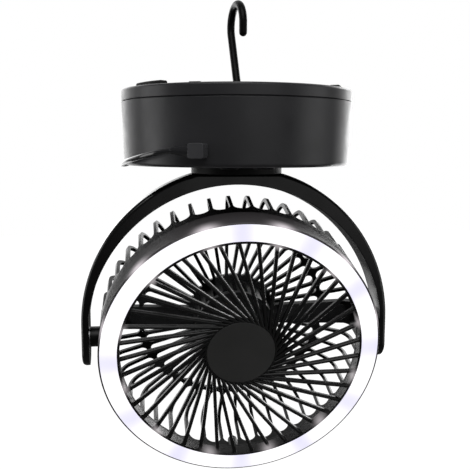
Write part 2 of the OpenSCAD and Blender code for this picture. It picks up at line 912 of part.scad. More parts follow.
module yoke() {
    color("#1b1b1d") translate([0, 0, pivot_z]) difference() {
        union() {
            translate([0, 0, arch_rise])
                rotate([90, 0, 0])
                    rotate_extrude(angle = 180, $fn = 180)
                        yoke_section();
            for (side = [0, 1])
                mirror([side, 0, 0]) {
                    translate([0, 0, -arm_end])
                        linear_extrude(height = arch_rise + arm_end)
                            yoke_section();
                    translate([0, 0, -arm_end])
                        rotate([0, 90, 0])
                            rotate_extrude()
                                intersection() {
                                    mirror([1, -1])
                                        yoke_section();
                                    square([yoke_r, 2 * yoke_r]);
                                }
                }
        }
        // Space for the head: the arch's inner circle between the arms' flat inner faces
        intersection() {
            translate([-arm_gap, -yoke_depth, -2 * yoke_depth])
                cube([2 * arm_gap, 2 * yoke_depth, 2 * (yoke_depth + yoke_r)]);
            union() {
                translate([0, 2 * yoke_depth, arch_in_rise])
                    rotate([90, 0, 0])
                        cylinder(r = yoke_in_r, h = 4 * yoke_depth, $fn = 180);
                translate([-yoke_r, -2 * yoke_depth, -3 * yoke_depth])
                    cube([2 * yoke_r, 4 * yoke_depth, 3 * yoke_depth + arch_in_rise]);
            }
        }
        // Flat top under the collar, wire passage and screws
        translate([-yoke_r, -yoke_depth, yoke_drop])
            cube([2 * yoke_r, 2 * yoke_depth, yoke_depth]);
        for (side = [-1, 1])
            translate([0, side * (yoke_depth / 2), yoke_drop])
                rotate([45, 0, 0])
                    cube([2 * yoke_r, crown_bevel * sqrt(2), crown_bevel * sqrt(2)], center = true);
        translate([0, 0, yoke_drop - 2 * yoke_depth])
            cylinder(r = wire_hole_d / 2, h = 3 * yoke_depth);
        for (x = [-1, 1])
            translate([x * yoke_screw_x, 0, 0]) {
                translate([0, 0, yoke_drop - 2 * yoke_depth])
                    cylinder(r = yoke_screw_r + fit_push, h = 3 * yoke_depth);
                translate([0, 0, yoke_drop - yoke_depth])
                    cylinder(r = yoke_screw_head_r + fit_free,
                             h = yoke_depth - yoke_screw_grip);
            }
        // Pivot bush and cap
        for (side = [0, 180])
            rotate([0, 0, side])
                rotate([0, 90, 0]) {
                    translate([0, 0, arm_gap - eps])
                        cylinder(r = bush_r, h = yoke_depth);
                    translate([0, 0, screw_seat])
                        cylinder(r = cap_r + fit_push, h = yoke_depth);
                }
    }
}

module yoke_screws() {
    head_z = crown_z - yoke_screw_grip;
    color("#9a9aa0")
        for (x = [-1, 1])
            translate([x * yoke_screw_x, 0, 0]) {
                translate([0, 0, head_z])
                    cylinder(r = yoke_screw_r, h = yoke_screw_grip + 4);
                translate([0, 0, head_z - yoke_screw_head_h])
                    cylinder(r = yoke_screw_head_r, h = yoke_screw_head_h);
            }
}

// ---- Pivots -----------------------------------------------------------------

module pivot_bushes() {
    color("#e4e2da") at_both_pivots()
        tube(bush_r, pivot_screw_r + fit_run, arm_gap, screw_seat);
}

module pivot_washers() {
    color("#b8b8bc") at_both_pivots()
        tube(pivot_boss_r - 0.3, pivot_screw_r + fit_push, pivot_boss_end, arm_gap);
}

module pivot_screws() {
    color("#9a9aa0") at_both_pivots() {
        translate([0, 0, pivot_boss_end - pivot_thread_l])
            cylinder(r = pivot_screw_r, h = screw_seat - pivot_boss_end + pivot_thread_l);
        translate([0, 0, screw_seat])
            cylinder(r = bush_r + 0.8, h = pivot_head_t);
    }
}

module pivot_caps() {
    color("#1b1b1d") at_both_pivots()
        translate([0, 0, yoke_r - cap_t])
            cylinder(r = cap_r, h = cap_t);
}

// ---- Head -------------------------------------------------------------------

// Front shell: outer rim and the channel that holds the lamps
module head_ring() {
    color("#1e1e20") on_head() difference() {
        union() {
            rotate_extrude($fn = 180)
                polygon([
                    [duct_r, channel_z - channel_t],
                    [rim_in_r, channel_z - channel_t], [rim_in_r, head_join],
                    [head_r, head_join], [head_r, head_front - 0.7],
                    [head_r - 0.7, head_front], [head_r - 1.1, head_front],
                    [head_r - 1.1, light_seat], [rim_in_r, light_seat],
                    [rim_in_r, channel_z], [duct_r + duct_wall, channel_z],
                    [duct_r + duct_wall, light_seat], [duct_r, light_seat],
                    [duct_r, ledge_z], [ledge_r, ledge_z], [ledge_r, ledge_z - ledge_t],
                    [duct_r, ledge_z - ledge_t]
                ]);
            for (a = shell_screw_az)
                rotate([0, 0, a])
                    translate([shell_screw_circle, 0, head_join + fit_push])
                        cylinder(r = shell_boss_r,
                                 h = channel_z - channel_t - head_join + eps - fit_push);
        }
        for (a = shell_screw_az)
            rotate([0, 0, a])
                translate([shell_screw_circle, 0, head_join - eps])
                    cylinder(r = shell_screw_r - screw_pilot, h = 7 + eps);
    }
}

// Ring lens, a little higher at its inner edge
module light_diffuser() {
    r_out = head_r - 1.1 - light_gap;
    color("#f4f4ff") on_head()
        rotate_extrude($fn = 180)
            polygon([
                [light_in_r, light_seat], [r_out, light_seat], [r_out, head_front - 0.1],
                [r_out - 0.4, head_front + 0.15], [light_in_r + 0.6, head_front + 0.9],
                [light_in_r, head_front + 0.6]
            ]);
}

module lamp_board() {
    color("#e8e8e4") on_head()
        tube(rim_in_r - 0.6, duct_r + duct_wall + 0.6, channel_z, channel_z + lamp_board_t);
}

module lamps() {
    color("#fff6c8") on_head()
        for (k = [0 : lamp_count - 1])
            rotate([0, 0, lamp_phase + 360 * k / lamp_count])
                translate([lamp_circle - lamp_size[0] / 2, -lamp_size[1] / 2,
                           channel_z + lamp_board_t])
                    cube(lamp_size);
}

// Section of a spoke: flat back, rounded front at y = 0
module spoke_section() {
    r = spoke_w / 2;
    translate([0, r])
        circle(r = r, $fn = 24);
    translate([-r, r])
        square([spoke_w, spoke_depth - r]);
}

module front_grille() {
    color("#202022") on_head() difference() {
        union() {
            tube(grille_rim_r, grille_rim_in, ledge_z, grille_front);
            translate([0, 0, hub_front - hub_t])
                cylinder(r = hub_r, h = hub_t);
            for (k = [0 : spoke_count - 1])
                rotate([0, 0, spoke_phase + 360 * k / spoke_count])
                    translate([spoke_tangent_r, spoke_start, spoke_hub_z])
                        rotate([spoke_slope - 90, 0, 0])
                            linear_extrude(height = spoke_end - spoke_start)
                                spoke_section();
        }
        translate([0, 0, hub_front - hub_cap_t])
            cylinder(r = hub_cap_r, h = 2 * hub_t);
        translate([0, 0, hub_front - 2 * hub_t])
            cylinder(r = 3 + fit_push, h = 3 * hub_t);
    }
}

module hub_cap() {
    color("#2b2b2d") on_head() {
        translate([0, 0, hub_front - hub_cap_t])
            cylinder(r1 = hub_cap_r - fit_push, r2 = hub_cap_r - 0.3,
                     h = hub_cap_t + 0.2, $fn = 128);
        translate([0, 0, hub_front - hub_t])
            cylinder(r = 3, h = hub_t);
    }
}

// Inside or outside outline of the rear bowl, moved in by t
module bowl_outline(t) {
    centre_r = head_r - bowl_round;
    centre_z = bowl_back + bowl_round;
    top = head_join + (t > 0 ? eps : 0);
    translate([centre_r, centre_z])
        circle(r = bowl_round - t);
    translate([0, centre_z])
        square([head_r - t, top - centre_z]);
    translate([0, bowl_back + t])
        square([centre_r, top - bowl_back - t]);
}

// Solid bowl of wall t
module bowl(t) {
    rotate_extrude($fn = 180)
        difference() {
            bowl_outline(0);
            bowl_outline(t);
        }
}

// Half the gap between two ribs at distance c from the axis
function gap_half(c) = c * sin(rib_half_angle) - rib_w / 2;

// Plan of a gap between two ribs with round ends, from radius r0 to radius r1
module gap_plan(r0, r1) {
    s = sin(rib_half_angle);
    co = cos(rib_half_angle);
    c0 = (r0 - rib_w / 2) / (1 - s);
    c1 = (r1 + rib_w / 2) / (1 + s);
    for (c = [c0, c1])
        translate([c, 0])
            circle(r = gap_half(c), $fn = 32);
    polygon([
        for (e = [[c0, 1], [c1, 1], [c1, -1], [c0, -1]])
            let (foot = e[0] * co, side = e[1])
            [foot * co + rib_w / 2 * s, side * (foot * s - rib_w / 2 * co)]
    ]);
}

// Ribbed bowl behind the impeller: straight ribs on its back that turn the rounded
// corner into fins on its side, two struts that carry the motor, and the pivot bosses
module rear_grille() {
    half_ring = mid_ring_w / 2;
    deep = head_back + band_edge - gap_half(head_r);
    color("#1e1e20") on_head() difference() {
        union() {
            difference() {
                bowl(bowl_wall);
                for (k = [0 : rib_count - 1])
                    rotate([0, 0, rib_phase + rib_half_angle * (2 * k + 1)])
                        translate([0, rib_swirl, 0]) {
                            translate([0, 0, bowl_back - 1])
                                linear_extrude(height = bowl_wall + 2)
                                    gap_plan(rear_hub_r, mid_ring_r - half_ring);
                            translate([0, 0, bowl_back - 1])
                                linear_extrude(height = deep + 1)
                                    gap_plan(mid_ring_r + half_ring, head_r + 12);
                            translate([head_r - 2 * bowl_wall, 0,
                                       band_edge - gap_half(head_r)])
                                rotate([0, 90, 0])
                                    cylinder(r = gap_half(head_r), h = 12, $fn = 32);
                        }
            }
            intersection() {
                bowl(strut_t);
                translate([0, 0, bowl_back - 1])
                    linear_extrude(height = head_back + band_edge + 1)
                        for (side = [0, 1])
                            mirror([side, 0])
                                polygon([
                                    [rear_hub_r - 3, -strut_half],
                                    [head_r + 1, -strut_half_rim],
                                    [head_r + 1, strut_half_rim],
                                    [rear_hub_r - 3, strut_half]
                                ]);
            }
            for (side = [0, 180])
                rotate([0, 0, side])
                    translate([head_r - strut_t, 0, 0])
                        rotate([0, 90, 0])
                            cylinder(r = pivot_boss_r, h = pivot_boss_end - head_r + strut_t);
            for (a = shell_screw_az)
                rotate([0, 0, a])
                    translate([shell_screw_circle, 0, shell_boss_z])
                        cylinder(r = shell_boss_r, h = head_join - fit_push - shell_boss_z);
        }
        for (side = [0, 180])
            rotate([0, 0, side])
                translate([pivot_boss_end - pivot_thread_l - 1, 0, 0])
                    rotate([0, 90, 0])
                        cylinder(r = pivot_screw_r, h = 10);
        for (a = shell_screw_az)
            rotate([0, 0, a])
                translate([shell_screw_circle, 0, 0])
                    cylinder(r = shell_screw_r + fit_push, h = head_join + eps);
    }
}

module shell_screws() {
    color("#9a9aa0") on_head()
        for (a = shell_screw_az)
            rotate([0, 0, a])
                translate([shell_screw_circle, 0, 0]) {
                    translate([0, 0, shell_boss_z])
                        cylinder(r = shell_screw_r, h = head_join + 6 - shell_boss_z);
                    translate([0, 0, shell_boss_z - screw_head_h])
                        cylinder(r = screw_head_r - 0.2, h = screw_head_h);
                }
}

// ---- Motor and impeller -----------------------------------------------------

// Slotted drum round the motor, standing on the back of the bowl
module motor_cage() {
    slot_l = cage_front - motor_back - 2 * cage_wall - 2;
    color("#1a1a1c") on_head() difference() {
        rotate_extrude()
            difference() {
                translate([0, motor_back])
                    square([cage_r, cage_front - motor_back]);
                translate([-eps, motor_back - eps])
                    square([cage_r - cage_wall + eps, cage_front - motor_back - cage_wall + eps]);
                translate([-eps, motor_back])
                    square([bearing_r + 2 + eps, 2 * head_front]);
            }
        for (k = [0 : cage_slots - 1])
            rotate([0, 0, 360 * k / cage_slots])
                translate([motor_r + 2, -cage_slot / 2, motor_back + cage_wall + 1])
                    cube([cage_r, cage_slot, slot_l]);
    }
}

module motor_can() {
    color("#77777c") on_head() difference() {
        translate([0, 0, motor_back])
            cylinder(r = motor_r, h = motor_l);
        translate([0, 0, motor_back + bearing_t])
            cylinder(r = stator_r, h = motor_l - 2 * bearing_t);
        translate([0, 0, motor_back - eps])
            cylinder(r = bearing_r, h = motor_l + 2 * eps);
    }
}

module motor_bearings() {
    color("#b8b8bc") on_head() {
        tube(bearing_r, shaft_r + fit_run, motor_back, motor_back + bearing_t);
        tube(bearing_r, shaft_r + fit_run, motor_front - bearing_t, motor_front);
    }
}

module motor_rotor() {
    gap = 1;
    color("#55555a") on_head()
        tube(rotor_r, shaft_r, motor_back + bearing_t + gap, motor_front - bearing_t - gap);
}

module motor_shaft() {
    color("#c8c8cc") on_head()
        translate([0, 0, motor_back + 0.5])
            cylinder(r = shaft_r, h = impeller_front - motor_back - 0.5 + nut_t - 1);
}

// Plan of one blade, swept back at its root and rounded at its tip
module blade_plan() {
    tip_round = 14;
    intersection() {
        circle(r = blade_r);
        union() {
            polygon([
                [0, -impeller_hub_r * 0.8], [blade_r * 0.62, -blade_r * 0.33],
                [blade_r - tip_round, -blade_r * 0.30],
                [blade_r, -blade_r * 0.12], [blade_r, blade_r * 0.34],
                [blade_r * 0.55, blade_r * 0.42], [0, impeller_hub_r * 0.8]
            ]);
            translate([blade_r - tip_round - 1, -blade_r * 0.30 + tip_round])
                circle(r = tip_round);
        }
    }
}

// One curved blade along x, cut from a cylinder shell by its plan
module blade() {
    middle = (impeller_back + impeller_front) / 2;
    reach = blade_curve_r - blade_t / 2;
    intersection() {
        translate([0, 0, impeller_back + 0.5])
            linear_extrude(height = impeller_l - 1)
                blade_plan();
        translate([0, sin(blade_pitch) * reach, middle - cos(blade_pitch) * reach])
            rotate([0, 90, 0])
                difference() {
                    cylinder(r = blade_curve_r, h = 2 * blade_r);
                    translate([0, 0, -eps])
                        cylinder(r = blade_curve_r - blade_t, h = 2 * blade_r + 2 * eps);
                }
    }
}

module impeller() {
    nose = 4;
    color("#d8e0e6") on_head() difference() {
        union() {
            rotate_extrude()
                difference() {
                    polygon([
                        [0, impeller_back], [impeller_hub_r, impeller_back],
                        [impeller_hub_r, impeller_front - nose],
                        [impeller_hub_r - nose / 3, impeller_front - nose / 3],
                        [impeller_hub_r - nose, impeller_front], [0, impeller_front]
                    ]);
                    translate([6, impeller_back - eps])
                        square([impeller_hub_r - impeller_wall - 6,
                                impeller_l - nose + eps]);
                }
            for (k = [0 : blade_count - 1])
                rotate([0, 0, 360 * k / blade_count])
                    difference() {
                        blade();
                        translate([0, 0, impeller_back - 1])
                            cylinder(r = impeller_hub_r - 0.5, h = impeller_l + 2);
                    }
        }
        translate([0, 0, impeller_back - eps])
            cylinder(r = shaft_r + 0.02, h = impeller_l + 2 * eps);
    }
}

module impeller_nut() {
    color("#c8a24a") on_head() difference() {
        translate([0, 0, impeller_front])
            cylinder(r = nut_r, h = nut_t, $fn = 6);
        translate([0, 0, impeller_front - eps])
            cylinder(r = shaft_r + 0.02, h = nut_t + 2 * eps);
    }
}

// ---- Charge cable -----------------------------------------------------------

module charge_plug() {
    edge = 1.2;
    depth_in = 1.2;
    color("#303032") at_azimuth(socket_az) translate([0, -plug_centre_r, socket_z]) {
        rotate([90, 0, 0])
            translate([0, 0, -plug_t / 2])
                linear_extrude(height = plug_t)
                    rounded_plan([plug_w, plug_h], edge);
        translate([0, plug_t / 2 + depth_in / 2 + nose_size[1] / 2 - edge, 0])
            cube(nose_size, center = true);
    }
}

// Middle of the plug's side face, where the strain relief starts
function relief_start() =
    let (x = -plug_w / 2, y = -plug_centre_r, a = socket_az)
    [x * cos(a) - y * sin(a), x * sin(a) + y * cos(a), socket_z];

module strain_relief() {
    color("#303032") difference() {
        bar(relief_start(), around(cable_route[0]), relief_r, cable_d / 2 + 0.4);
        at_azimuth(socket_az)
            translate([-plug_w / 2, -plug_centre_r - 10, socket_z - 10])
                cube([plug_w, 20, 20]);
    }
}

module charge_cable() {
    color("#3a3a3d") {
        cable_along([for (p = cable_route) around(p)], cable_d, cable_sides);
        cable_along(lead_route, cable_d, cable_sides);
    }
}

module cable_coil() {
    color("#3a3a3d") translate([coil_at[0], coil_at[1], lid_top_z + coil_lift])
        rotate_extrude()
            translate([coil_mid_r, coil_h / 2])
                rounded_plan([2 * coil_half, coil_h], cable_d / 2);
}

module cable_tie() {
    coil_in = coil_mid_r - coil_half;
    bow = coil_in - sqrt(pow(coil_in, 2) - pow(tie_w / 2, 2));
    inside = [2 * (coil_half + bow) + fit_free, coil_h + fit_free];
    color("#202022") translate([coil_at[0], coil_at[1], lid_top_z + coil_lift + coil_h / 2])
        rotate([0, 0, tie_turn])
            translate([coil_mid_r, tie_w / 2, 0])
                rotate([90, 0, 0])
                    linear_extrude(height = tie_w)
                        difference() {
                            rounded_plan([inside[0] + 2 * tie_t, inside[1] + 2 * tie_t], 2);
                            rounded_plan(inside, 1.4);
                        }
}

// Children from the USB plug's frame: x runs out of the cable end
module on_usb() {
    translate(lead_route[len(lead_route) - 1])
        rotate([0, 0, usb_turn])
            children();
}

module usb_plug() {
    color("#303032") on_usb() difference() {
        translate([usb_size[0] / 2, 0, -usb_size[2] / 2])
            linear_extrude(height = usb_size[2])
                rounded_plan([usb_size[0], usb_size[1]], 2.5);
        translate([usb_size[0] - usb_insert, -usb_shell[1] / 2, -usb_shell[2] / 2])
            cube([usb_insert + eps, usb_shell[1], usb_shell[2]]);
    }
}

module usb_shell() {
    wall = 0.5;
    color("#c0c0c4") on_usb()
        translate([usb_size[0] - usb_insert, -usb_shell[1] / 2, -usb_shell[2] / 2])
            difference() {
                cube([usb_shell[0] + usb_insert, usb_shell[1], usb_shell[2]]);
                translate([usb_insert, wall, wall + 1.9])
                    cube([usb_shell[0] + eps, usb_shell[1] - 2 * wall,
                          usb_shell[2] - 2 * wall - 1.9]);
            }
}

// ---- Nodes ------------------------------------------------------------------

hook();
hook_pin();
hook_bracket();
base_lid();
base_housing();
rubber_feet();
lid_screws();
battery_cells();
battery_holder();
control_board();
charge_socket();
power_button();
light_button();
swivel_washer();
swivel_collar();
swivel_retainer();
swivel_screws();
yoke();
yoke_screws();
pivot_bushes();
pivot_washers();
pivot_screws();
pivot_caps();
head_ring();
light_diffuser();
lamp_board();
lamps();
front_grille();
hub_cap();
rear_grille();
shell_screws();
motor_cage();
motor_can();
motor_bearings();
motor_rotor();
motor_shaft();
impeller();
impeller_nut();
charge_plug();
strain_relief();
charge_cable();
cable_coil();
cable_tie();
usb_plug();
usb_shell();
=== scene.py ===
# Portable camping fan: finishes, charge cord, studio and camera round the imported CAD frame.
# Lengths are in metres in the part's own frame, where +Z is up and the fan faces -Y.
import json
import math

import bpy
from mathutils import Matrix, Vector


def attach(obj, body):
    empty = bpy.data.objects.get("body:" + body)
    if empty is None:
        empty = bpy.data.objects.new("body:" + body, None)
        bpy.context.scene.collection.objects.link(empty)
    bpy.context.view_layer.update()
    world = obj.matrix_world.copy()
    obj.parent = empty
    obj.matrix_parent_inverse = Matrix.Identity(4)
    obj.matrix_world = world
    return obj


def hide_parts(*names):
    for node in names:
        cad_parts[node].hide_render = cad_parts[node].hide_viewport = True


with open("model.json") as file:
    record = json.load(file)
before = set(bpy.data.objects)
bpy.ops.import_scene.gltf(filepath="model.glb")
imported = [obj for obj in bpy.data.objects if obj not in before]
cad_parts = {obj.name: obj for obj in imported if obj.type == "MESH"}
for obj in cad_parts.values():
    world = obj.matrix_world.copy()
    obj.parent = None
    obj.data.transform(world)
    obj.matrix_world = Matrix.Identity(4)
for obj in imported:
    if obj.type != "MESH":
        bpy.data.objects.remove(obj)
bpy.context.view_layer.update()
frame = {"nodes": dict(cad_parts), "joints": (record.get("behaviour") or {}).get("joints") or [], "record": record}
nodes = frame["nodes"]
joints = {joint["name"]: joint for joint in frame["joints"]}
MM = 0.001

# ---- Driving values ---------------------------------------------------------

# Camera
CAMERA_AT = Vector((-0.06596, -0.49791, -0.09362))
CAMERA_HEADING = Vector((0.1296, 0.9916, 0.0)).normalized()
CAMERA_PITCH = math.radians(-7.22)
CAMERA_ROLL = 0.003
CAMERA_LENS = 54.03
SENSOR_WIDTH = 36.0

# Head: its tilt at rest, its front face's distance from the pivot, the guard's outer ring
PIVOT = Vector(joints["head_tilt"]["pos_m"])
HEAD_TILT = math.radians(15)
HEAD_FRONT = 0.0316
GUARD_RING_R = 0.083
GUARD_RING_W = 0.003

# Light ring, as angles about the head's axis: its lamps, the cooler spots between them, and
# the side where those spots are faint
LAMP_COUNT = 12
LAMP_PHASE = math.radians(16)
DIM_PHASE = math.radians(2)
FAINT_AT = math.radians(137)
# How far back from the front face the lamps' light, painted on as a glow, reaches on the shell and the guard
RIM_GLOW_DEPTH = 0.012
RIM_HAZE_DEPTH = 0.035
GUARD_GLOW_DEPTH = 0.010

# Cord
CORD_DIAMETER = 0.0034
COIL_AT = (-20.0, 42.0)
COIL_RADII = (22.1, 18.7, 15.3)
COIL_LAYER_Z = (-53.4, -50.0)
# Route from the strain relief to the coil: azimuth from the front, radius, height, in mm
CABLE_ROUTE = [
    (-35, 85.3, -96.6), (-43, 86.2, -98.4), (-53, 85.2, -101), (-65, 82.8, -103.5),
    (-78, 80.8, -105.4), (-91, 80.2, -106.5), (-104, 80.2, -107), (-114, 80.8, -105.4),
    (-121, 82, -100.5), (-126.5, 83, -93), (-131, 83.6, -84.5), (-135.5, 84, -75.5),
    (-138.5, 84.1, -67.4), (-142.5, 83.2, -59.8), (-146.5, 81.1, -55.1),
    (-152, 77.1, -53.1), (-158, 70.7, -53.2), (-163, 67, -53.4),
]
# From the coil to the USB plug: x, y, z, in mm
LEAD_ROUTE = [
    (-9, 61.3, -50), (-3, 58.5, -49.9), (3, 54.4, -50.7), (8, 50.6, -51.7), (12, 48.5, -52),
]

# ---- Node helpers -----------------------------------------------------------


class Shader:
    """A material with short ways to add and join its nodes."""

    def __init__(self, name, colour, roughness, **inputs):
        self.material = bpy.data.materials.new(name)
        self.material.use_nodes = True
        self.tree = self.material.node_tree
        self.bsdf = self.tree.nodes["Principled BSDF"]
        self.bsdf.inputs["Base Color"].default_value = (*colour, 1)
        self.bsdf.inputs["Roughness"].default_value = roughness
        for key, value in inputs.items():
            self.bsdf.inputs[key.replace("_", " ")].default_value = value

    def add(self, kind, settings=None, **inputs):
        """A node, its properties from settings and its sockets from inputs, by name or joined."""
        node = self.tree.nodes.new("ShaderNode" + kind)
        for key, value in (settings or {}).items():
            setattr(node, key, value)
        for key, value in inputs.items():
            self.feed(node.inputs[key.replace("_", " ")], value)
        return node

    def feed(self, socket, value):
        if isinstance(value, bpy.types.NodeSocket):
            self.tree.links.new(value, socket)
        else:
            socket.default_value = value

    def math(self, operation, *values):
        node = self.add("Math", {"operation": operation})
        for socket, value in zip(node.inputs, values):
            self.feed(socket, value)
        return node.outputs[0]

    def place(self, scale=(1, 1, 1)):
        """Object coordinates, stretched by scale."""
        coords = self.add("TexCoord").outputs["Object"]
        if scale == (1, 1, 1):
            return coords
        return self.add("Mapping", Vector=coords, Scale=scale).outputs["Vector"]

    def noise(self, scale, detail=2.0, stretch=(1, 1, 1)):
        node = self.add("TexNoise", Vector=self.place(stretch), Scale=scale, Detail=detail)
        return node.outputs["Fac"]

    def span(self, value, low, high, source=(0.3, 0.7)):
        """value mapped from source to low..high."""
        node = self.add("MapRange", Value=value)
        for key, number in (("From Min", source[0]), ("From Max", source[1]),
                            ("To Min", low), ("To Max", high)):
            node.inputs[key].default_value = number
        return node.outputs["Result"]

    def mix(self, factor, first, second):
        """Colour between first and second."""
        node = self.add("Mix", {"data_type": "RGBA"})
        # Socket 0 is the factor, and 6 and 7 are the two colours
        self.feed(node.inputs[0], factor)
        self.feed(node.inputs[6], first)
        self.feed(node.inputs[7], second)
        return node.outputs[2]

    def edges(self, radius):
        """(rounded normal, 1 along sharp edges and 0 elsewhere)."""
        bevel = self.add("Bevel", {"samples": 6}, Radius=radius).outputs["Normal"]
        flat = self.add("NewGeometry").outputs["Normal"]
        dot = self.add("VectorMath", {"operation": "DOT_PRODUCT"})
        self.feed(dot.inputs[0], bevel)
        self.feed(dot.inputs[1], flat)
        return bevel, self.span(dot.outputs["Value"], 1.0, 0.0, (0.90, 0.995))

    def bump(self, height, distance, normal=None):
        node = self.add("Bump", Height=height, Distance=distance)
        if normal is not None:
            self.feed(node.inputs["Normal"], normal)
        return node.outputs["Normal"]

    def drive(self, socket, value):
        self.feed(self.bsdf.inputs[socket], value)


def scaled(colour, share):
    return tuple(min(1.0, part * share) for part in colour)


# ---- Materials --------------------------------------------------------------


def moulded(name, colour, roughness, grain=1400.0, depth=0.00003, wear=1.8, edge=0.0004,
            **inputs):
    """Moulded plastic: spark-eroded grain, faint flow marks, uneven gloss, polished edges."""
    look = Shader(name, colour, roughness, **inputs)
    normal, rim = look.edges(edge)
    cloud = look.span(look.noise(22.0, 3.0), 0.0, 1.0)
    tone = look.mix(cloud, (*scaled(colour, 0.84), 1), (*scaled(colour, 1.16), 1))
    look.drive("Base Color", look.mix(look.math("MULTIPLY", rim, 0.5), tone,
                                      (*scaled(colour, wear), 1)))
    gloss = look.span(look.noise(60.0, 4.0), roughness - 0.04, roughness + 0.06)
    look.drive("Roughness", gloss)
    look.drive("Normal", look.bump(look.noise(grain, 2.0), depth, normal))
    return look


def rubber(name, colour):
    """Matte rubber with a fine dimpled skin and dust in its hollows."""
    look = Shader(name, colour, 0.78, Specular_IOR_Level=0.3)
    normal, rim = look.edges(0.0005)
    dust = look.span(look.noise(90.0, 5.0), 0.0, 0.5, (0.45, 0.75))
    look.drive("Base Color", look.mix(dust, (*colour, 1), (0.085, 0.083, 0.08, 1)))
    look.drive("Roughness", look.span(rim, 0.8, 0.55, (0, 1)))
    cells = look.add("TexVoronoi", Vector=look.place(), Scale=1600.0).outputs["Distance"]
    look.drive("Normal", look.bump(cells, 0.00006, normal))
    return look


def metal(name, colour, roughness, brush=(1, 1, 1), brush_scale=900.0):
    """Plain steel or brass with drawn lines along one direction and worn, brighter edges."""
    look = Shader(name, colour, roughness, Metallic=1.0)
    normal, rim = look.edges(0.00025)
    tarnish = look.span(look.noise(120.0, 5.0), 0.0, 1.0)
    tone = look.mix(tarnish, (*scaled(colour, 0.72), 1), (*colour, 1))
    look.drive("Base Color", look.mix(rim, tone, (*scaled(colour, 1.35), 1)))
    lines = look.noise(brush_scale, 3.0, brush)
    look.drive("Roughness", look.span(lines, roughness - 0.08, roughness + 0.12))
    look.drive("Normal", look.bump(lines, 0.000012, normal))
    return look


def powder_coat(name, colour):
    """Black powder coat on wire: orange peel, with the coat thin where the wire rubs."""
    look = Shader(name, colour, 0.34, Specular_IOR_Level=0.12)
    peel = look.add("TexVoronoi", {"feature": "SMOOTH_F1"}, Vector=look.place(), Scale=900.0)
    look.drive("Normal", look.bump(peel.outputs["Distance"], 0.00008))
    worn = look.span(look.noise(160.0, 6.0), 0.0, 1.0, (0.62, 0.74))
    look.drive("Base Color", look.mix(worn, (*colour, 1), (*scaled(colour, 2.4), 1)))
    look.drive("Roughness", look.span(look.noise(45.0, 3.0), 0.28, 0.42))
    return look


def head_place(look):
    """(angle about the head's axis, point across it, distance along it from the pivot)."""
    turn = (math.pi / 2 + HEAD_TILT, 0, 0)
    place = look.add("Mapping", {"vector_type": "TEXTURE"}, Vector=look.place(),
                     Location=PIVOT, Rotation=turn)
    parts = look.add("SeparateXYZ", Vector=place.outputs["Vector"])
    angle = look.math("ARCTAN2", parts.outputs["Y"], parts.outputs["X"])
    across = look.add("CombineXYZ", X=parts.outputs["X"], Y=parts.outputs["Y"])
    return angle, across.outputs["Vector"], parts.outputs["Z"]


def lamp_wave(look, angle, phase, sharpness):
    """1 at each lamp's angle and falling to 0 between lamps, narrower as sharpness grows."""
    turned = look.math("MULTIPLY", look.math("SUBTRACT", angle, phase), LAMP_COUNT)
    wave = look.math("MULTIPLY_ADD", look.math("COSINE", turned), 0.5, 0.5)
    return look.math("POWER", wave, sharpness)


def lit_lens(name):
    """Milky ring lens, lit from behind: nearly even white, cooler between the lamps."""
    look = Shader(name, (0.22, 0.22, 0.24), 0.3)
    angle = head_place(look)[0]
    near_faint = look.math("COSINE", look.math("SUBTRACT", angle, FAINT_AT))
    faint = look.span(near_faint, 1.0, 0.4, (0.75, 0.95))
    dim = look.math("MULTIPLY", lamp_wave(look, angle, DIM_PHASE, 2.2), faint)
    cloud = look.span(look.noise(70.0, 2.0), 0.75, 1.0)
    tint = look.mix(look.math("MULTIPLY", dim, cloud), (1.0, 0.99, 1.0, 1),
                    (0.80, 0.78, 0.96, 1))
    look.drive("Emission Color", tint)
    look.drive("Emission Strength", look.span(dim, 1.15, 0.98, (0, 1)))
    look.drive("Normal", look.bump(look.noise(700.0, 2.0), 0.00002))
    return look


def rim_with_painted_glow(name, colour, roughness):
    """The head's front shell: moulded, with the lamps' light painted on as a glow at its front edge and as a haze
    over its top.
    """
    look = moulded(name, colour, roughness, edge=0.0003, Specular_IOR_Level=0.35)
    angle, _, depth = head_place(look)
    height = look.math("SINE", angle)
    near = look.span(depth, 0.0, 1.0, (HEAD_FRONT - RIM_GLOW_DEPTH, HEAD_FRONT))
    whole = look.span(depth, 0.0, 1.0, (HEAD_FRONT - RIM_HAZE_DEPTH, HEAD_FRONT))
    upper = look.span(height, 0.0, 1.0, (-0.2, 0.4))
    # Painted glow: emission at each lamp's angle stands in for the lamps' light on the shell's front edge,
    # strongest on its upper part
    spots = look.math("MULTIPLY", lamp_wave(look, angle, LAMP_PHASE, 5.0),
                      look.math("MULTIPLY", look.math("POWER", near, 2.0), upper))
    # Painted haze: faint emission over the shell's upper part stands in for the lamps' light falling on it
    painted_haze = look.math("MULTIPLY", whole, look.span(height, 0.0, 0.035, (0.5, 1.0)))
    look.bsdf.inputs["Emission Color"].default_value = (1.0, 0.92, 0.97, 1)
    look.drive("Emission Strength", look.math("MULTIPLY_ADD", spots, 0.7, painted_haze))
    return look


def guard_with_painted_glow(name, colour, roughness):
    """The front grille: moulded, with each lamp's light painted on as a glow at its outer ring."""
    look = moulded(name, colour, roughness, edge=0.0003)
    angle, across, depth = head_place(look)
    reach = look.add("VectorMath", {"operation": "LENGTH"})
    look.feed(reach.inputs[0], across)
    outer = look.span(reach.outputs["Value"], 0.0, 1.0,
                      (GUARD_RING_R - GUARD_RING_W, GUARD_RING_R))
    near = look.span(depth, 0.0, 1.0, (HEAD_FRONT - GUARD_GLOW_DEPTH, HEAD_FRONT))
    # Painted glow: emission at each lamp's angle on the outer ring near the front stands in for the lamps' light
    # caught there
    spots = look.math("MULTIPLY", lamp_wave(look, angle, LAMP_PHASE, 9.0),
                      look.math("MULTIPLY", outer, near))
    look.bsdf.inputs["Emission Color"].default_value = (1.0, 0.93, 0.96, 1)
    look.drive("Emission Strength", look.math("MULTIPLY", spots, 0.35))
    return look


